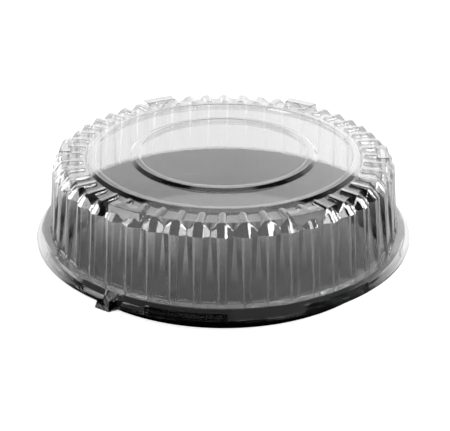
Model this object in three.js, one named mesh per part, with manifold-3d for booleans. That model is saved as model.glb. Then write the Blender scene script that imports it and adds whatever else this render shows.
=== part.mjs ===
// A round catering tray of black plastic, and the clear fluted dome lid that snaps over its rim.
// Lengths are in millimetres, heights are measured from the table, and azimuths run from the
// front (-Y) towards +X.
import * as THREE from "three";
import { mergeVertices } from "three/addons/utils/BufferGeometryUtils.js";
import Module from "manifold-3d";

const wasm = await Module();
wasm.setup();

const degrees = THREE.MathUtils.degToRad;

// Overall sizes, and how the two thin sheets meet
const rimRadius = 203;
const trayHeight = 31.4;
const domeRise = 74.7;
const lidSheet = 0.8;
const traySheet = 0.9;
const seatGap = 0.3;
const lipGap = 0.6;
const overrun = 1;

// The lid's rim: a flange, a skirt that leans in to a bead, and a ledge on the tray's rim
const rimDrop = 12;
const flangeSheet = 1;
const flangeWidth = 3.5;
const skirtLean = 2;
const beadLean = 2;
const beadDrop = 4.9;
const skirtRadius = rimRadius - flangeWidth;
const beadRadius = skirtRadius - skirtLean;
const ledgeRadius = beadRadius - beadLean;
const ledgeHeight = trayHeight + seatGap + lidSheet;
const beadHeight = ledgeHeight - beadDrop;
const rimHeight = ledgeHeight - rimDrop;
const flangeTop = rimHeight + flangeSheet;

// Snap pockets pressed into the skirt, under the bead, towards the tray's lip
const pockets = 8;
const pocketStart = degrees(22.5);
const pocketArc = degrees(24);
const pocketEndArc = degrees(1.2);
const pocketEdge = 1.1;
const pocketGap = 0.5;
const lipRadius = ledgeRadius - lipGap;
const pocketRadius = lipRadius + pocketGap + lidSheet;

// The tray: a flat floor, a rounded foot, a flared wall and a flat rim with a lip turned down
const rimLand = 5.7;
const rimBevel = 1.2;
const lipDrop = 6;
const wallFlare = 8.2;
const footSpread = 2.2;
const footRise = 2.4;
const wallTopRadius = lipRadius - rimLand;
const wallBottomRadius = wallTopRadius - wallFlare;
const floorRadius = wallBottomRadius - footSpread;

// The dome's fluted wall and chamfer: each rib has a flat crest, and its flanks run to its roots
const ribs = 50;
const ribStart = degrees(-0.4);
const ledgeWidth = 7.3;
const wallLean = 6.7;
const wallFlute = 1.8;
const wallFootWidth = 12;
const crestWidth = 5.4;
const rootWidth = 0.8;
const chamferFlute = 4;
const chamferDrop = 8.3;
const chamferWidth = 12.3;
const wallCrest = ledgeRadius - ledgeWidth;
const wallRoot = wallCrest - wallFlute;
const chamferCrest = wallCrest - wallLean;
const chamferRoot = chamferCrest - chamferFlute;
const shoulderRadius = chamferRoot - chamferWidth;
const shoulderHeight = ledgeHeight + domeRise;
const chamferHeight = shoulderHeight - chamferDrop;

// Two raised rings on the flat top, steep towards the middle and sloping outwards
const ringHeight = 3.4;
const ringInnerSlope = 1.4;
const ringOuterSlope = 3.1;
const ringWidth = 11.4;
const shoulderWidth = 18;
const innerRingRadius = 100;
const outerRingRadius = shoulderRadius - shoulderWidth;

// Each rib crosses the shoulder as a bar, from the outer ring to the chamfer
const barGap = 1;
const barRise = 1.6;
const barHeight = 3.2;
const barWidth = 9.4;
const barCrestWidth = 4;
const barSlope = 10.2;
const barStart = outerRingRadius + barGap;
const barEnd = chamferCrest - barSlope;

// Stacking lugs on the shoulder's outer edge
const lugs = 6;
const lugStart = degrees(27.2);
const lugWidth = 38;
const lugDepth = 12.5;
const lugHeight = 4.8;
const lugSetback = 7;
const lugRadius = chamferCrest - lugSetback;

// The pull tab: a hollow bump on the skirt, on a thin plate with rounded corners
const tabAzimuth = degrees(-31.5);
const tabWidth = 33;
const tabReach = 11;
const tabCorner = 7;
const bumpWidth = 20;
const bumpReach = 4.5;
const bumpLean = 2.5;
const bumpDrop = 1;

// How many flat faces stand for a full turn, and for each arc
const turnFaces = 96;
const ringFaces = 60;
const pocketFaces = 5;
const bandFaces = 5;
const cornerFaces = 4;
const lugFaces = 6;

// A point at a radius, an azimuth and a height.
function spot(radius, azimuth, height) {
  return [radius * Math.sin(azimuth), -radius * Math.cos(azimuth), height];
}

// A closed mesh as a solid.
function solidOf(geometry) {
  geometry.deleteAttribute("normal");
  geometry.deleteAttribute("uv");
  const merged = mergeVertices(geometry);
  const surface = new wasm.Mesh({
    numProp: 3,
    vertProperties: merged.attributes.position.array,
    triVerts: new Uint32Array(merged.index.array),
  });
  return new wasm.Manifold(surface);
}

// A solid's surface as a geometry.
function geometryOf(solid) {
  const surface = solid.getMesh();
  const geometry = new THREE.BufferGeometry();
  const corners = new THREE.BufferAttribute(surface.vertProperties, surface.numProp);
  geometry.setAttribute("position", corners);
  geometry.setIndex(new THREE.BufferAttribute(surface.triVerts, 1));
  geometry.computeVertexNormals();
  return geometry;
}

// All the solids of a list in one.
function joined(solids) {
  return solids.reduce((whole, solid) => whole.add(solid));
}

// A profile of [radius, height] points turned about the upright axis.
function turned(profile, faces) {
  const points = profile.map(([radius, height]) => new THREE.Vector2(radius, height));
  return new THREE.LatheGeometry(points, faces).rotateX(Math.PI / 2);
}

// The two triangles of a four-cornered face, split along its shorter diagonal.
function halves(points, [a, b, c, d]) {
  const between = (i, j) => Math.hypot(...points[i].map((value, axis) => value - points[j][axis]));
  return between(a, c) < between(b, d) ? [a, b, c, a, c, d] : [b, c, d, b, d, a];
}

// A closed surface from rows of points down the outside, each row running once round the axis,
// with a flat cap at the height of the first row and of the last.
function wrapped(rows) {
  const columns = rows[0].length;
  const points = rows.flat();
  const lastRow = points.length - columns;
  const topMiddle = points.push([0, 0, rows[0][0][2]]) - 1;
  const bottomMiddle = points.push([0, 0, rows.at(-1)[0][2]]) - 1;
  const faces = [];
  for (let column = 0; column < columns; column++) {
    const next = (column + 1) % columns;
    faces.push(topMiddle, column, next);
    faces.push(bottomMiddle, lastRow + next, lastRow + column);
    for (let above = 0; above < lastRow; above += columns) {
      const below = above + columns;
      const corners = [above + column, below + column, below + next, above + next];
      faces.push(...halves(points, corners));
    }
  }
  const geometry = new THREE.BufferGeometry();
  geometry.setAttribute("position", new THREE.Float32BufferAttribute(points.flat(), 3));
  geometry.setIndex(faces);
  return geometry;
}

// A profile that runs outwards along a sheet's upper or outer face, moved by a depth towards
// its lower or inner face.
function inset(profile, depth) {
  const normals = profile.slice(1).map(([radius, height], i) => {
    const run = radius - profile[i][0];
    const rise = height - profile[i][1];
    const length = Math.hypot(run, rise);
    return [rise / length, -run / length];
  });
  return profile.map(([radius, height], i) => {
    const before = normals[Math.max(i - 1, 0)];
    const after = normals[Math.min(i, normals.length - 1)];
    const scale = depth / (1 + before[0] * after[0] + before[1] * after[1]);
    return [radius + scale * (before[0] + after[0]), height + scale * (before[1] + after[1])];
  });
}

// The profile's end points carried straight down to a height.
function lowered(profile, height) {
  return [[profile[0][0], height], ...profile, [profile.at(-1)[0], height]];
}

// A plan outline lifted between two heights.
function lifted(shape, from, to, faces) {
  const options = { depth: to - from, bevelEnabled: false, curveSegments: faces };
  return new THREE.ExtrudeGeometry(shape, options).translate(0, 0, from);
}

// The fluted dome with its bars, as a solid: the lid's outside, or its hollow when inset.
function dome(depth) {
  const buried = ledgeHeight - lidSheet - overrun;
  const crest = inset(
    [
      [barStart, shoulderHeight],
      [barStart + barRise, shoulderHeight + barHeight],
      [barEnd, shoulderHeight + barHeight],
      [chamferCrest, chamferHeight],
      [wallCrest, ledgeHeight],
      [wallCrest, buried],
    ],
    depth,
  );
  const root = inset(
    [
      [barStart, shoulderHeight],
      [barStart + barRise, shoulderHeight],
      [shoulderRadius, shoulderHeight],
      [chamferRoot, chamferHeight],
      [wallRoot, ledgeHeight],
      [wallRoot, buried],
    ],
    depth,
  );
  crest[0] = root[0];
  const pitch = (2 * Math.PI * chamferRoot) / ribs;
  const bar = { foot: barWidth, crest: barCrestWidth, height: barHeight };
  const corner = { foot: pitch - rootWidth, crest: crestWidth, height: chamferFlute };
  const base = { foot: wallFootWidth, crest: crestWidth, height: wallFlute };
  const rows = [bar, bar, bar, corner, base, base].map((section, row) => {
    const flank = Math.atan2(section.height, (section.foot - section.crest) / 2);
    const shrink = depth * Math.tan(flank / 2);
    const [rootRadius, rootHeight] = root[row];
    const [crestRadius, crestHeight] = crest[row];
    const footHalf = (section.foot / 2 - shrink) / rootRadius;
    const crestHalf = (section.crest / 2 - shrink) / crestRadius;
    return Array.from({ length: ribs }, (_, rib) => {
      const azimuth = ribStart + (2 * Math.PI * rib) / ribs;
      return [
        spot(rootRadius, azimuth - footHalf, rootHeight),
        spot(crestRadius, azimuth - crestHalf, crestHeight),
        spot(crestRadius, azimuth + crestHalf, crestHeight),
        spot(rootRadius, azimuth + footHalf, rootHeight),
      ];
    }).flat();
  });
  return solidOf(wrapped(rows));
}

// A raised ring whose outer foot has the given radius.
function ring(radius, depth) {
  const top = shoulderHeight + ringHeight;
  const inner = radius - ringWidth;
  const section = inset(
    [
      [0, shoulderHeight],
      [inner, shoulderHeight],
      [inner + ringInnerSlope, top],
      [radius - ringOuterSlope, top],
      [radius, shoulderHeight],
      [radius + ringWidth, shoulderHeight],
    ],
    depth,
  ).slice(1, -1);
  const closed = lowered(section, shoulderHeight - lidSheet - overrun);
  closed.push(closed[0]);
  return solidOf(turned(closed.reverse(), ringFaces));
}

// The azimuths of the skirt's columns, and which of them lie in a pressed pocket.
function skirtColumns() {
  const pitch = (2 * Math.PI) / pockets;
  const floorArc = pocketArc - 2 * pocketEndArc;
  const bandArc = pitch - pocketArc;
  return Array.from({ length: pockets }, (_, pocket) => {
    const start = pocketStart + pitch * pocket;
    const pressed = Array.from({ length: pocketFaces + 1 }, (_, face) => ({
      azimuth: start + pocketEndArc + (floorArc * face) / pocketFaces,
      pressed: true,
    }));
    const plain = Array.from({ length: bandFaces + 1 }, (_, face) => ({
      azimuth: start + pocketArc + (bandArc * face) / bandFaces,
      pressed: false,
    }));
    return [...pressed, ...plain];
  }).flat();
}

// The skirt as a solid disc down to a height.
function skirt(depth, bottom) {
  const ledge = [ledgeRadius - ledgeWidth, ledgeHeight];
  const edge = [ledgeRadius, ledgeHeight];
  const bead = [beadRadius, beadHeight];
  const underBead = beadHeight - pocketEdge;
  const leanShare = pocketEdge / (beadHeight - flangeTop);
  const plainOutline = [
    ledge,
    edge,
    bead,
    [beadRadius + skirtLean * leanShare, underBead],
    [skirtRadius, flangeTop],
  ];
  const pressedOutline = [ledge, edge, bead, [pocketRadius, underBead], [pocketRadius, flangeTop]];
  const plain = inset(plainOutline, depth);
  const pressed = inset(pressedOutline, depth);
  plain.push([plain.at(-1)[0], bottom]);
  pressed.push([pressed.at(-1)[0], bottom]);
  const columns = skirtColumns();
  const rows = plain.map((_, row) =>
    columns.map((column) => {
      const [radius, height] = column.pressed ? pressed[row] : plain[row];
      return spot(radius, column.azimuth, height);
    }),
  );
  return solidOf(wrapped(rows));
}

// The thin flange round the skirt, before the skirt's hollow is cut from it.
function flange() {
  const profile = [
    [0, rimHeight],
    [rimRadius, rimHeight],
    [rimRadius, flangeTop],
    [0, flangeTop],
  ];
  return solidOf(turned(profile, turnFaces));
}

// One stacking lug: a stretch of a flat-topped ring.
function lug(azimuth, depth) {
  const outside = lugRadius - depth;
  const inside = lugRadius - lugDepth + depth;
  const half = (lugWidth / 2 - depth) / lugRadius;
  const middle = azimuth - Math.PI / 2;
  const plan = new THREE.Shape();
  plan.absarc(0, 0, outside, middle - half, middle + half, false);
  plan.absarc(0, 0, inside, middle + half, middle - half, true);
  const top = shoulderHeight + lugHeight - depth;
  return solidOf(lifted(plan, chamferHeight + depth, top, lugFaces));
}

// The pull tab's hollow bump down to a height.
function bump(depth, bottom) {
  const outside = rimRadius + bumpReach;
  const top = ledgeHeight - bumpDrop;
  const outline = inset(
    [
      [ledgeRadius - lidSheet - overrun, top],
      [outside - bumpLean, top],
      [outside, flangeTop],
    ],
    depth,
  );
  const section = lowered(outline, bottom);
  const points = section.map(([radius, height]) => new THREE.Vector2(radius, height));
  const width = bumpWidth - 2 * depth;
  return solidOf(
    lifted(new THREE.Shape(points), -width / 2, width / 2, cornerFaces)
      .rotateX(Math.PI / 2)
      .rotateZ(tabAzimuth - Math.PI / 2),
  );
}

// The pull tab's plate.
function tabPlate() {
  const reach = rimRadius + tabReach;
  const half = tabWidth / 2;
  const cornerX = reach - tabCorner;
  const cornerY = half - tabCorner;
  const plan = new THREE.Shape();
  plan.moveTo(skirtRadius, -half);
  plan.absarc(cornerX, -cornerY, tabCorner, -Math.PI / 2, 0, false);
  plan.absarc(cornerX, cornerY, tabCorner, 0, Math.PI / 2, false);
  plan.lineTo(skirtRadius, half);
  return solidOf(
    lifted(plan, rimHeight, flangeTop, cornerFaces).rotateZ(tabAzimuth - Math.PI / 2),
  );
}

// Every formed shape of the lid, as the outside or, inset, as the hollow.
function lidForm(depth, bottom) {
  const turn = (2 * Math.PI) / lugs;
  return joined([
    dome(depth),
    ring(innerRingRadius, depth),
    ring(outerRingRadius, depth),
    skirt(depth, bottom),
    bump(depth, bottom),
    ...Array.from({ length: lugs }, (_, i) => lug(lugStart + turn * i, depth)),
  ]);
}

function makeLid() {
  const outside = joined([lidForm(0, rimHeight), flange(), tabPlate()]);
  const solid = outside.subtract(lidForm(lidSheet, rimHeight - overrun));
  const material = new THREE.MeshStandardMaterial({
    color: "#e8eeee",
    roughness: 0.08,
    metalness: 0,
    transparent: true,
    opacity: 0.35,
  });
  const lid = new THREE.Mesh(geometryOf(solid), material);
  lid.name = "dome_lid";
  return lid;
}

function makeTray() {
  const upper = [
    [0, traySheet],
    [floorRadius, traySheet],
    [wallBottomRadius, traySheet + footRise],
    [wallTopRadius, trayHeight],
    [lipRadius - rimBevel, trayHeight],
    [lipRadius, trayHeight - rimBevel],
    [lipRadius, trayHeight - lipDrop],
  ];
  const profile = [...inset(upper, traySheet), ...upper.reverse()];
  const material = new THREE.MeshStandardMaterial({
    color: "#0c0c0d",
    roughness: 0.15,
    metalness: 0,
  });
  const tray = new THREE.Mesh(turned(profile, turnFaces), material);
  tray.name = "tray";
  return tray;
}

const domeTray = new THREE.Group();
domeTray.add(makeTray(), makeLid());

export default domeTray;
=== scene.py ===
# Catering tray with a clear fluted dome lid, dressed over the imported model.
# Lengths in the dictionaries are millimetres; the scene itself is in metres.
import math

import bmesh
import bpy
from mathutils import Matrix, Vector


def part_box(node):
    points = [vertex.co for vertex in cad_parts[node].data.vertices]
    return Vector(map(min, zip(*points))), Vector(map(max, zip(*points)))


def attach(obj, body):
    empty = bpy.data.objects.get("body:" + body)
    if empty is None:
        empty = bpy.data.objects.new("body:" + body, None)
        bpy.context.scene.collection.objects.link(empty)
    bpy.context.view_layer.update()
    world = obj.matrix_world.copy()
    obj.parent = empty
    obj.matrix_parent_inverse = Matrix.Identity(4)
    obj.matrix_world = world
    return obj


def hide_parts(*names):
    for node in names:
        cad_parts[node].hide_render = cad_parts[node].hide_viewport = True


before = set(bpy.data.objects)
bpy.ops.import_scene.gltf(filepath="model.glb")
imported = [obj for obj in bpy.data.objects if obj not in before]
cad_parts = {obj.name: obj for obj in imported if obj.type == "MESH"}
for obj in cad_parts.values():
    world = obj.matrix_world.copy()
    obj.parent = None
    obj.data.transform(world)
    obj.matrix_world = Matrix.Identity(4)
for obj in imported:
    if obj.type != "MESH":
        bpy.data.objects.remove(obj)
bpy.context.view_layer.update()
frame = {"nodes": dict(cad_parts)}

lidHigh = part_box("dome_lid")[1]
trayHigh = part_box("tray")[1]
mm = 0.001
print("frame loaded:", ", ".join(frame["nodes"]))
print("lid and tray reach up to", round(lidHigh[2] / mm, 1), "and", round(trayHigh[2] / mm, 1), "mm")


# Small helpers

def linearColour(code):
    # sRGB hex to the linear colour that a shader takes
    parts = [int(code[i:i + 2], 16) / 255 for i in (0, 2, 4)]
    return [p / 12.92 if p <= 0.04045 else ((p + 0.055) / 1.055) ** 2.4 for p in parts] + [1.0]


def addNode(tree, kind, settings=None, links=None, **inputs):
    # one node with its settings, its input values and what feeds them
    node = tree.nodes.new(kind)
    for name, value in (settings or {}).items():
        setattr(node, name, value)
    for name, value in inputs.items():
        node.inputs[name.replace("_", " ")].default_value = value
    for name, source in (links or {}).items():
        tree.links.new(source, node.inputs[name])
    return node


def addRange(tree, source, low, high, start, end):
    # start at or below low, end at or above high, smooth between
    node = addNode(tree, "ShaderNodeMapRange", {"interpolation_type": "SMOOTHSTEP"}, {"Value": source})
    node.inputs["From Min"].default_value = low
    node.inputs["From Max"].default_value = high
    node.inputs["To Min"].default_value = start
    node.inputs["To Max"].default_value = end
    return node.outputs["Result"]


def addMaths(tree, operation, first, second):
    node = addNode(tree, "ShaderNodeMath", {"operation": operation})
    tree.links.new(first, node.inputs[0])
    tree.links.new(second, node.inputs[1])
    return node.outputs["Value"]


def spot(radius, azimuth, height):
    # azimuth from the front (-Y) towards +X, in radians
    return Vector((radius * math.sin(azimuth), -radius * math.cos(azimuth), height)) * mm


def profileEdges(bm, points):
    # a chain of edges through [radius, height] points, drawn to the right of the axis
    verts = [bm.verts.new(spot(radius, math.pi / 2, height)) for radius, height in points]
    for a, b in zip(verts, verts[1:]):
        bm.edges.new((a, b))
    return verts


def roundCorners(bm, verts, radius):
    # every listed corner of a profile gets a small arc
    bmesh.ops.bevel(
        bm, geom=verts, affect="VERTICES", offset=radius * mm, offset_type="OFFSET",
        segments=3, profile=0.5, material=-1, clamp_overlap=True,
    )


def spinProfile(bm, steps):
    bmesh.ops.spin(
        bm, geom=bm.verts[:] + bm.edges[:], cent=(0, 0, 0), axis=(0, 0, 1), dvec=(0, 0, 0),
        angle=2 * math.pi, steps=steps, use_merge=True, use_duplicate=False,
    )
    bmesh.ops.remove_doubles(bm, verts=bm.verts[:], dist=0.002 * mm)


def faceUpwards(bm, reach):
    # the faces round the axis look up, and the rest goes with them
    middle = [f for f in bm.faces if math.hypot(*f.calc_center_median()[:2]) < reach * mm]
    if sum(f.normal.z for f in middle) < 0:
        bmesh.ops.reverse_faces(bm, faces=bm.faces[:])


def finishPiece(bm, name, body, node, material):
    mesh = bpy.data.meshes.new(name)
    bm.to_mesh(mesh)
    bm.free()
    piece = bpy.data.objects.new(name, mesh)
    bpy.context.collection.objects.link(piece)
    mesh.materials.append(material)
    for face in mesh.polygons:
        face.use_smooth = True
    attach(piece, body)
    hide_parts(node)
    return piece


# Camera: the photograph's viewpoint, straight in front and 27 degrees above

view = {
    "distance": 1167,
    "elevation": 27.0,
    "pivot": (0, 0, 20.5),
    "aim": (1.6, 0, 32.2),
    "lens": 84.7,
    "sensor": 36,
    "roll": 0.17,
}

cameraData = bpy.data.cameras.new("productCamera")
cameraData.lens = view["lens"]
cameraData.sensor_width = view["sensor"]
cameraData.clip_end = 50
camera = bpy.data.objects.new("productCamera", cameraData)
bpy.context.collection.objects.link(camera)
tilt = math.radians(view["elevation"])
offset = Vector((0, -math.cos(tilt), math.sin(tilt))) * view["distance"]
camera.location = (Vector(view["pivot"]) + offset) * mm
sight = Vector(view["aim"]) * mm - camera.location
turn = sight.to_track_quat("-Z", "Y").to_matrix() @ Matrix.Rotation(math.radians(view["roll"]), 3, "Z")
camera.rotation_euler = turn.to_euler()
bpy.context.scene.camera = camera
print("camera placed")


# Tray: one sheet of black plastic

tray = {
    "sheet": 0.9,
    "height": 31.4,
    "floorRadius": 178.8,
    "footRadius": 181.0,
    "footHeight": 3.3,
    "wallTopRadius": 189.2,
    "lipRadius": 194.9,
    "lipDrop": 6.0,
    "footRound": 2.0,
    "softEdge": 0.35,
    "softFrom": 30,
    "steps": 180,
}


def trayMaterial():
    # Thermoformed high-impact polystyrene: deep black, glossy, faintly uneven from the mould
    material = bpy.data.materials.new("thermoformedBlackPolystyrene")
    material.use_nodes = True
    tree = material.node_tree
    shader = tree.nodes["Principled BSDF"]
    shader.inputs["Base Color"].default_value = linearColour("0B0B0D")
    shader.inputs["IOR"].default_value = 1.55
    shader.inputs["Roughness"].default_value = 0.06
    place = addNode(tree, "ShaderNodeTexCoord")
    # ripples about 40 mm long
    ripple = addNode(
        tree, "ShaderNodeTexNoise", links={"Vector": place.outputs["Object"]},
        Scale=25.0, Detail=2.0, Roughness=0.5,
    )
    bump = addNode(
        tree, "ShaderNodeBump", links={"Height": ripple.outputs["Fac"]},
        Strength=0.06, Distance=0.004,
    )
    tree.links.new(bump.outputs["Normal"], shader.inputs["Normal"])
    return material


def makeTray():
    bm = bmesh.new()
    sheet = tray["sheet"]
    rise = tray["height"]
    points = [
        (0, sheet),
        (tray["floorRadius"], sheet),
        (tray["footRadius"], tray["footHeight"]),
        (tray["wallTopRadius"], rise),
        (tray["lipRadius"], rise),
        (tray["lipRadius"], rise - tray["lipDrop"]),
    ]
    verts = profileEdges(bm, points)
    roundCorners(bm, verts[1:2], tray["footRound"])
    spinProfile(bm, tray["steps"])
    bmesh.ops.recalc_face_normals(bm, faces=bm.faces[:])
    faceUpwards(bm, 100)
    piece = finishPiece(bm, "blackTray", "tray", "tray", trayMaterial())
    wall = piece.modifiers.new("sheet", "SOLIDIFY")
    wall.thickness = sheet * mm
    wall.offset = -1
    wall.use_even_offset = True
    edge = piece.modifiers.new("edges", "BEVEL")
    edge.width = tray["softEdge"] * mm
    edge.segments = 2
    edge.limit_method = "ANGLE"
    edge.angle_limit = math.radians(tray["softFrom"])
    normals = piece.modifiers.new("normals", "WEIGHTED_NORMAL")
    normals.keep_sharp = False
    return piece


makeTray()
print("tray made")


# Lid: one sheet of clear plastic, a flat top with two rings, 50 ribs and a rim that snaps on

lid = {
    "sheet": 0.5,
    "ribs": 50,
    "ribStart": -0.4,
    "columns": 8,
    "shoulderHeight": 107.2,
    "ringHeight": 3.4,
    "ringRadii": (100.0, 147.2),
    "ringWidth": 11.4,
    "ringInnerSlope": 1.4,
    "ringOuterSlope": 3.7,
    "ringRound": 0.7,
    "softEdge": 0.3,
    "softFrom": 6,
    "softReach": 147.9,
    "hazeLow": 33,
}

# Rows of the ribs from the shoulder down to the ledge. Each row gives radius and height in the
# valley between two ribs, then half-width, radius and height of the rib's foot and of its crest
# edge, then the radius and height of its middle line, and last how far the crest edge is cut off.
ribRows = [
    ((148.2, 107.2), (3.6, 150.0, 107.2), (2.4, 148.6, 107.2), (148.2, 107.2), 0.5),
    ((150.4, 107.2), (4.6, 152.4, 107.2), (2.4, 150.6, 110.2), (149.8, 110.4), 0.9),
    ((154.6, 107.2), (4.7, 155.4, 107.2), (3.0, 153.4, 110.3), (153.4, 110.4), 1.2),
    ((161.4, 107.2), (4.7, 161.4, 107.2), (3.0, 161.4, 110.3), (161.4, 110.4), 1.2),
    ((162.4, 107.2), (4.7, 162.4, 107.2), (3.0, 162.4, 110.3), (162.4, 110.4), 1.2),
    ((165.2, 107.2), (4.7, 165.2, 107.2), (3.0, 165.2, 110.3), (165.2, 110.4), 1.2),
    ((173.5, 103.0), (10.4, 173.5, 103.0), (3.2, 171.2, 110.2), (171.2, 110.2), 1.45),
    ((174.5, 101.9), (10.5, 174.5, 101.9), (3.4, 174.5, 106.6), (174.5, 106.6), 1.45),
    ((175.5, 100.8), (10.6, 175.5, 100.8), (3.5, 175.5, 105.5), (175.5, 105.5), 1.45),
    ((177.5, 98.5), (10.7, 177.6, 98.5), (3.9, 181.5, 98.9), (181.5, 98.9), 1.45),
    ((185.3, 40.5), (7.1, 185.3, 40.5), (3.4, 187.4, 40.5), (187.4, 40.5), 0.6),
    ((185.8, 36.5), (6.8, 185.8, 36.5), (3.5, 187.8, 36.5), (187.9, 36.5), 0.6),
    ((186.1, 34.4), (6.0, 186.1, 34.4), (3.2, 187.9, 34.4), (188.1, 34.4), 0.5),
    ((186.9, 32.5), (4.2, 187.1, 32.5), (2.0, 187.9, 32.5), (188.3, 32.5), 0.4),
]
brinkRow = 9

# Rows of the rim below the ribs: ledge, bead, skirt and flange, and the same rows in a snap
# pocket and at the corner of the pull tab's bump
rimRows = [(195.5, 32.5), (197.5, 27.6), (198.0, 26.5), (199.5, 21.5), (203.0, 21.5)]
pocketRows = [(195.5, 32.5), (197.5, 27.6), (196.2, 26.5), (196.2, 21.5), (203.0, 21.5)]
bumpRows = [(195.5, 32.5), (209.6, 31.3), (210.4, 30.4), (212.4, 21.5), (212.9, 21.5)]

lug = {
    "count": 6, "start": 27.2, "inner": 162.4, "outer": 174.5,
    "width": 38.0, "top": 112.0, "slope": 0.9, "margin": 2, "cutSpan": 8,
}
pocket = {"count": 8, "start": 22.5, "arc": 24.0, "endArc": 1.2, "slant": 0.5}
tab = {
    "left": -36.9, "right": -28.7, "reach": 213.5, "corner": 3.0, "cornerShare": 0.7,
    "taper": 0.64, "leastReach": 0.2, "cutReach": (190, 204), "cutSpan": 14,
}
bump = {"left": -35.4, "corner": -30.8, "right": -29.3}


def lidMaterial():
    # Thermoformed PET sheet: water clear, high gloss, faintly wavy from the forming, and hazy
    # along the sharp folds of the wall, where the sheet was stretched most
    material = bpy.data.materials.new("thermoformedClearPet")
    material.use_nodes = True
    tree = material.node_tree
    shader = tree.nodes["Principled BSDF"]
    shader.inputs["Base Color"].default_value = linearColour("FAFAFA")
    shader.inputs["IOR"].default_value = 1.57
    shader.inputs["Roughness"].default_value = 0.02
    shader.inputs["Transmission Weight"].default_value = 1.0
    place = addNode(tree, "ShaderNodeTexCoord")
    # waves about 17 mm long
    wave = addNode(
        tree, "ShaderNodeTexNoise", links={"Vector": place.outputs["Object"]},
        Scale=60.0, Detail=1.0, Roughness=0.5,
    )
    bump = addNode(
        tree, "ShaderNodeBump", links={"Height": wave.outputs["Fac"]},
        Strength=0.03, Distance=0.002,
    )
    tree.links.new(bump.outputs["Normal"], shader.inputs["Normal"])
    fold = addNode(tree, "ShaderNodeAttribute", {"attribute_name": "foldHaze"})
    haze = addRange(tree, fold.outputs["Fac"], 0.0, 1.0, 0.02, 0.5)
    tree.links.new(haze, shader.inputs["Roughness"])
    clear = addNode(tree, "ShaderNodeBsdfTransparent", Color=linearColour("E6E6E6"))
    path = addNode(tree, "ShaderNodeLightPath")
    mix = addNode(tree, "ShaderNodeMixShader")
    tree.links.new(path.outputs["Is Shadow Ray"], mix.inputs[0])
    tree.links.new(shader.outputs["BSDF"], mix.inputs[1])
    tree.links.new(clear.outputs["BSDF"], mix.inputs[2])
    tree.links.new(mix.outputs["Shader"], tree.nodes["Material Output"].inputs["Surface"])
    return material


def deckProfile():
    # the flat top from its centre to the first row of the ribs
    low = lid["shoulderHeight"]
    top = low + lid["ringHeight"]
    points = [(0, low), (40, low)]
    corners = []
    for radius in lid["ringRadii"]:
        inner = radius - lid["ringWidth"]
        corners += [len(points) + i for i in range(4)]
        points += [
            (inner, low),
            (inner + lid["ringInnerSlope"], top),
            (radius - lid["ringOuterSlope"], top),
            (radius, low),
        ]
    return points, corners


def radiusOf(vert):
    return math.hypot(vert.co.x, vert.co.y) / mm


def azimuthOf(vert):
    # degrees from the front towards +X
    return math.degrees(math.atan2(vert.co.x, -vert.co.y))


def rowOf(vert, rows):
    # which row of a table the vertex still stands on, or None
    here = (radiusOf(vert), vert.co.z / mm)
    nearest = min(range(len(rows)), key=lambda i: math.dist(rows[i], here))
    return nearest if math.dist(rows[nearest], here) < 0.01 else None


def ribPoint(rib, row, column):
    # column 0 is the rib's middle line, 1 and 2 cut off its crest edge, 3 is its foot, 4 the valley
    pitch = 2 * math.pi / lid["ribs"]
    middle = math.radians(lid["ribStart"]) + rib * pitch
    valley, foot, crest, centre, cut = ribRows[row]
    if abs(column) == 4:
        return spot(valley[0], middle + math.copysign(pitch / 2, column), valley[1])
    if column == 0:
        return spot(centre[0], middle, centre[1])
    low = spot(foot[1], middle + math.copysign(foot[0] / foot[1], column), foot[2])
    if abs(column) == 3:
        return low
    edge = spot(crest[1], middle + math.copysign(crest[0] / crest[1], column), crest[2])
    aim = spot(centre[0], middle, centre[1]) if abs(column) == 1 else low
    return edge + (aim - edge).normalized() * cut * mm


def shapeRibs(bm):
    # the columns of each rib go to its crest, foot and valley, row by row; the narrow faces along
    # the wall's crests are marked, because the sheet is drawn hazy there
    pitch = 360 / lid["ribs"]
    valleys = [row[0] for row in ribRows]
    haze = bm.faces.layers.float.new("foldHaze")
    for face in bm.faces:
        middle = face.calc_center_median()
        share = (math.degrees(math.atan2(middle.x, -middle.y)) - lid["ribStart"]) / pitch
        column = (share - round(share)) * lid["columns"]
        if 1 < abs(column) < 2 and lid["hazeLow"] < middle.z / mm < valleys[brinkRow][1]:
            face[haze] = 1.0 if column < 0 else 0.4
    for vert in bm.verts:
        row = rowOf(vert, valleys)
        if row is None:
            continue
        azimuth = azimuthOf(vert) - lid["ribStart"]
        rib = round(azimuth / pitch)
        column = round((azimuth / pitch - rib) * lid["columns"])
        vert.co = ribPoint(rib, row, column)


def cutAlong(bm, azimuth, reach, span):
    # a radial cut through the faces near one azimuth, between two radii
    direction = spot(1 / mm, math.radians(azimuth), 0)
    across = direction.cross(Vector((0, 0, 1)))
    near = []
    for face in bm.faces:
        middle = face.calc_center_median()
        flat = math.hypot(middle.x, middle.y) / mm
        if reach[0] < flat < reach[1] and abs(middle.dot(across)) / mm < span and middle.dot(direction) > 0:
            near.append(face)
    geometry = set(near)
    for face in near:
        geometry.update(face.edges)
        geometry.update(face.verts)
    bmesh.ops.bisect_plane(
        bm, geom=list(geometry), dist=0.01 * mm, plane_co=(0, 0, 0), plane_no=across,
        use_snap_center=False, clear_outer=False, clear_inner=False,
    )


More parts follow.
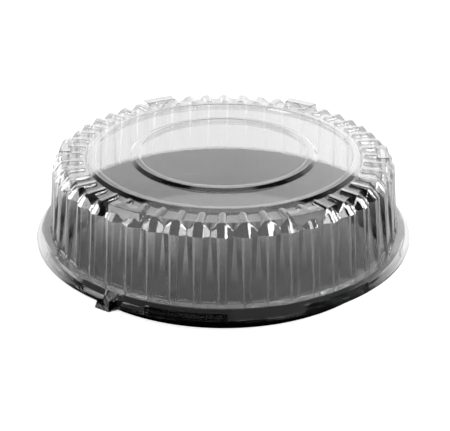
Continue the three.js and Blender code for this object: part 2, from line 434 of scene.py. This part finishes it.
def raiseLugs(bm):
    # each lug is a flat-topped stretch of ring that stands over the ends of the bars
    half = math.degrees(lug["width"] / 2 / lug["outer"])
    slope = math.degrees(lug["slope"] / lug["outer"])
    pitch = 360 / lug["count"]
    reach = (lug["inner"] - lug["margin"], lug["outer"] + lug["margin"])
    for index in range(lug["count"]):
        middle = lug["start"] + pitch * index
        for side in (-1, 1):
            cutAlong(bm, middle + side * half, reach, lug["cutSpan"])
            cutAlong(bm, middle + side * (half - slope), reach, lug["cutSpan"])
    for vert in bm.verts:
        flat = radiusOf(vert)
        if not lug["inner"] - 0.1 < flat < lug["outer"] + 0.1:
            continue
        off = (azimuthOf(vert) - lug["start"] + pitch / 2) % pitch - pitch / 2
        if abs(off) < half - slope + 0.01:
            vert.co.z = lug["top"] * mm


def pressPockets(bm):
    # the skirt steps in between the bead and the flange, with slanted ends
    step = 360 / lid["ribs"] / lid["columns"]
    pitch = 360 / pocket["count"]
    end = pocket["arc"]
    marks = [0, pocket["endArc"], end - pocket["endArc"], end]
    for vert in bm.verts:
        row = rowOf(vert, rimRows)
        if row is None:
            continue
        azimuth = azimuthOf(vert)
        off = (azimuth - pocket["start"]) % pitch
        if off > pitch - step / 2 - 0.001:
            off -= pitch
        base = azimuth - off
        nearest = min(marks, key=lambda mark: abs(mark - off))
        if abs(nearest - off) <= step / 2 + 0.001:
            off = nearest
            slant = pocket["slant"] * (1 if row in (2, 1) else 0)
            if row >= 1:
                azimuth = base + off + (slant if off < end / 2 else -slant)
        pressed = pocket["endArc"] - 0.01 < off < end - pocket["endArc"] + 0.01
        radius, height = (pocketRows if pressed else rimRows)[row]
        vert.co = spot(radius, math.radians(azimuth), height)


def pullTab(bm):
    # a flat plate with rounded corners, and a hollow bump that grows out of the skirt towards
    # its right end, where a finger pushes
    middle = (tab["left"] + tab["right"]) / 2
    corner = math.degrees(tab["corner"] / tab["reach"])
    for azimuth in (tab["left"], tab["right"], *bump.values(), tab["left"] + corner):
        cutAlong(bm, azimuth, tab["cutReach"], tab["cutSpan"])
    outer = []
    for vert in bm.verts:
        azimuth = azimuthOf(vert)
        radius = radiusOf(vert)
        if radius < rimRows[0][0] - 0.1 or not tab["left"] - 0.02 < azimuth < tab["right"] + 0.02:
            continue
        row = min(range(len(rimRows)), key=lambda i: math.dist(rimRows[i], (radius, vert.co.z / mm)))
        if row == len(rimRows) - 1:
            outer.append(vert)
        if azimuth < bump["corner"]:
            share = (azimuth - bump["left"]) / (bump["corner"] - bump["left"])
        else:
            share = (bump["right"] - azimuth) / (bump["right"] - bump["corner"])
        share = max(0.0, share)
        radius, height = [a + (b - a) * share for a, b in zip(rimRows[row], bumpRows[row])]
        vert.co = spot(radius, math.radians(azimuth), height)
    rim = [e for e in bm.edges if e.is_boundary and e.verts[0] in outer and e.verts[1] in outer]
    made = bmesh.ops.extrude_edge_only(bm, edges=rim)["geom"]
    for vert in [v for v in made if isinstance(v, bmesh.types.BMVert)]:
        azimuth = azimuthOf(vert)
        gap = min(azimuth - tab["left"], tab["right"] - azimuth)
        inset = max(0.0, 1 - max(0.0, gap) / corner)
        rounding = tab["corner"] * (1 - math.sqrt(1 - inset * inset)) * tab["cornerShare"]
        azimuth = middle + (azimuth - middle) * tab["taper"]
        reach = max(tab["reach"] - rounding, radiusOf(vert) + tab["leastReach"])
        vert.co = spot(reach, math.radians(azimuth), rimRows[-1][1])


def softenFolds(bm):
    # every fold of the sheet gets a small bevel, but the brink under the chamfer stays crisp, and
    # so do folds with no room for one
    layer = bm.edges.layers.float.new("bevel_weight_edge")
    brink = ribRows[brinkRow]
    for edge in bm.edges:
        if len(edge.link_faces) != 2 or min(radiusOf(v) for v in edge.verts) < lid["softReach"]:
            continue
        if edge.calc_face_angle(0) < math.radians(lid["softFrom"]):
            continue
        if min(e.calc_length() for v in edge.verts for e in v.link_edges) < lid["softEdge"] * mm:
            continue
        if all(brink[0][1] - 0.1 < v.co.z / mm < brink[3][1] + 0.1 for v in edge.verts):
            edge.smooth = False
        else:
            edge[layer] = 1.0


def makeLid():
    bm = bmesh.new()
    points, corners = deckProfile()
    points += [row[0] for row in ribRows]
    points += rimRows
    verts = profileEdges(bm, points)
    roundCorners(bm, [verts[i] for i in corners], lid["ringRound"])
    spinProfile(bm, lid["ribs"] * lid["columns"])
    bmesh.ops.rotate(
        bm, verts=bm.verts[:], cent=(0, 0, 0),
        matrix=Matrix.Rotation(math.radians(lid["ribStart"]), 3, "Z"),
    )
    bmesh.ops.recalc_face_normals(bm, faces=bm.faces[:])
    shapeRibs(bm)
    pressPockets(bm)
    raiseLugs(bm)
    pullTab(bm)
    bm.normal_update()
    faceUpwards(bm, 80)
    softenFolds(bm)
    piece = finishPiece(bm, "clearDomeLid", "lid", "dome_lid", lidMaterial())
    edge = piece.modifiers.new("edges", "BEVEL")
    edge.width = lid["softEdge"] * mm
    edge.segments = 1
    edge.limit_method = "WEIGHT"
    edge.use_clamp_overlap = False
    wall = piece.modifiers.new("sheet", "SOLIDIFY")
    wall.thickness = lid["sheet"] * mm
    wall.offset = -1
    wall.use_even_offset = True
    normals = piece.modifiers.new("normals", "WEIGHTED_NORMAL")
    normals.keep_sharp = True
    return piece


makeLid()
print("lid made")


# Studio: pale floor, pale backdrop behind, dark overhead, five long softboxes round the front

studio = {
    "floor": 12000,
    "floorDrop": 0.2,
    "sweepGlow": 0.85,
    "sweepNear": 345,
    "sweepFar": 570,
    "sweepLeft": 2.8,
    "sweepRight": 1.15,
    "sweepBehind": 0.79,
    "sweepTurn": (-350, -20),
    "behindTurn": (-120, 0),
    "back": 1.2,
    "halo": 1.0,
    "backRight": 1.35,
    "frontLow": 0.2,
    "front": 1.0,
    "leftLow": 1.6,
    "rightLow": 0.7,
    "overhead": 0.12,
}

floorMesh = bpy.data.meshes.new("paleFloor")
bm = bmesh.new()
bmesh.ops.create_grid(bm, x_segments=1, y_segments=1, size=studio["floor"] / 2 * mm)
bm.to_mesh(floorMesh)
bm.free()
floor = bpy.data.objects.new("paleFloor", floorMesh)
floor.location.z = -studio["floorDrop"] * mm
bpy.context.collection.objects.link(floor)


def floorMaterial():
    # White paper: the camera sees it plain white, but what the lid and the tray mirror or let through is
    # painted
    # glow and painted shade: dark close in front of the object, as if a black card lay there, and brightest
    # further off to the left
    material = bpy.data.materials.new("whitePaperSweep")
    material.use_nodes = True
    tree = material.node_tree
    paper = tree.nodes["Principled BSDF"]
    paper.inputs["Base Color"].default_value = linearColour("F4F4F4")
    paper.inputs["Roughness"].default_value = 0.9
    paper.inputs["Specular IOR Level"].default_value = 0.0
    paper.inputs["Emission Color"].default_value = (1, 1, 1, 1)
    paper.inputs["Emission Strength"].default_value = studio["sweepGlow"]
    place = addNode(tree, "ShaderNodeTexCoord")
    split = addNode(tree, "ShaderNodeSeparateXYZ", links={"Vector": place.outputs["Object"]})
    reach = addNode(tree, "ShaderNodeVectorMath", {"operation": "LENGTH"})
    tree.links.new(place.outputs["Object"], reach.inputs[0])
    # painted shade: in reflections the floor's glow fades to nothing close in front of the object
    near, far = studio["sweepNear"] * mm, studio["sweepFar"] * mm
    fade = addRange(tree, reach.outputs["Value"], near, far, 0.0, 1.0)
    left, right = [edge * mm for edge in studio["sweepTurn"]]
    # painted light: that glow is stronger to the left than to the right
    level = addRange(tree, split.outputs["X"], left, right, studio["sweepLeft"], studio["sweepRight"])
    ahead = addMaths(tree, "MULTIPLY", fade, level)
    # painted light: the floor behind the object glows too, more weakly
    before, after = [edge * mm for edge in studio["behindTurn"]]
    behind = addRange(tree, split.outputs["Y"], before, after, 0.0, studio["sweepBehind"])
    strength = addMaths(tree, "MAXIMUM", ahead, behind)
    shade = addNode(tree, "ShaderNodeEmission", links={"Strength": strength})
    path = addNode(tree, "ShaderNodeLightPath")
    mix = addNode(tree, "ShaderNodeMixShader")
    tree.links.new(path.outputs["Is Camera Ray"], mix.inputs[0])
    tree.links.new(shade.outputs["Emission"], mix.inputs[1])
    tree.links.new(paper.outputs["BSDF"], mix.inputs[2])
    tree.links.new(mix.outputs["Shader"], tree.nodes["Material Output"].inputs["Surface"])
    return material


floorMesh.materials.append(floorMaterial())


# Brightness of the backdrop by direction. Each row names an axis of the unit direction, where on
# it a change starts and ends, and the level before and after that.
worldRanges = {
    "frontRise": ("Z", 0.3, 0.38, studio["frontLow"], studio["front"]),
    "frontSide": ("Y", -0.86, -0.74, studio["front"], studio["frontLow"]),
    "back": ("Y", 0.45, 0.85, 0.0, studio["back"]),
    "backSlant": ("X", 0.0, 0.16, 1.0, studio["backRight"]),
    "backRoof": ("Z", 0.58, 0.72, 1.0, studio["overhead"]),
    "left": ("X", -0.75, -0.35, studio["leftLow"], 0.0),
    "leftBack": ("Y", 0.0, 0.4, 0.15, 1.0),
    "leftRoof": ("Z", 0.16, 0.3, 1.0, 0.02),
    "right": ("X", 0.35, 0.75, 0.0, studio["rightLow"]),
    "rightBack": ("Y", -0.35, 0.0, 0.3, 1.0),
    "rightRoof": ("Z", 0.45, 0.62, 1.0, 0.02),
    "haloLow": ("Z", 0.87, 0.92, 0.0, studio["halo"]),
    "haloHigh": ("Z", 0.955, 0.98, studio["halo"], 0.0),
}


def makeWorld():
    world = bpy.data.worlds.new("studioWorld")
    bpy.context.scene.world = world
    world.use_nodes = True
    tree = world.node_tree
    place = addNode(tree, "ShaderNodeTexCoord")
    split = addNode(tree, "ShaderNodeSeparateXYZ", links={"Vector": place.outputs["Generated"]})
    level = {
        name: addRange(tree, split.outputs[axis], *numbers)
        for name, (axis, *numbers) in worldRanges.items()
    }
    front = addMaths(tree, "MINIMUM", level["frontRise"], level["frontSide"])
    backdrop = addMaths(tree, "MAXIMUM", front, level["back"])
    slanted = addMaths(tree, "MULTIPLY", backdrop, level["backSlant"])
    shares = [addMaths(tree, "MULTIPLY", slanted, level["backRoof"])]
    shares.append(addMaths(tree, "MINIMUM", level["haloLow"], level["haloHigh"]))
    for side in ("left", "right"):
        beside = addMaths(tree, "MULTIPLY", level[side], level[side + "Back"])
        shares.append(addMaths(tree, "MULTIPLY", beside, level[side + "Roof"]))
    total = shares[0]
    for share in shares[1:]:
        total = addMaths(tree, "MAXIMUM", total, share)
    background = tree.nodes["Background"]
    tree.links.new(total, background.inputs["Strength"])
    background.inputs["Color"].default_value = (1, 1, 1, 1)


makeWorld()


def softbox(name, start, end, width, radiance):
    # a long lamp between two places, turned to face the lid
    start, end = Vector(start) * mm, Vector(end) * mm
    middle = (start + end) / 2
    along = (end - start).normalized()
    away = middle - Vector((0, 0, lid["shoulderHeight"])) * mm
    away = (away - along * away.dot(along)).normalized()
    data = bpy.data.lights.new(name, "AREA")
    data.shape = "RECTANGLE"
    data.size = (end - start).length
    data.size_y = width * mm
    data.energy = radiance * math.pi * data.size * data.size_y
    lamp = bpy.data.objects.new(name, data)
    bpy.context.collection.objects.link(lamp)
    lamp.location = middle
    lamp.rotation_euler = Matrix((along, away.cross(along), away)).transposed().to_euler()


# two ends, width and radiance
softbox("frontSoftbox", (80, -576, 600), (470, -455, 600), 84, 5.5)
softbox("rightSoftbox", (225, -480, 600), (740, -185, 600), 56, 12.0)
softbox("farRightSoftbox", (760, -175, 600), (1180, 260, 600), 34, 12.0)
softbox("leftSoftbox", (-370, -325, 400), (-1300, 590, 400), 50, 4.0)
softbox("farLeftSoftbox", (-900, -50, 600), (-1560, 722, 600), 34, 9.0)
bpy.context.scene.view_settings.view_transform = "Standard"
print("studio lit")
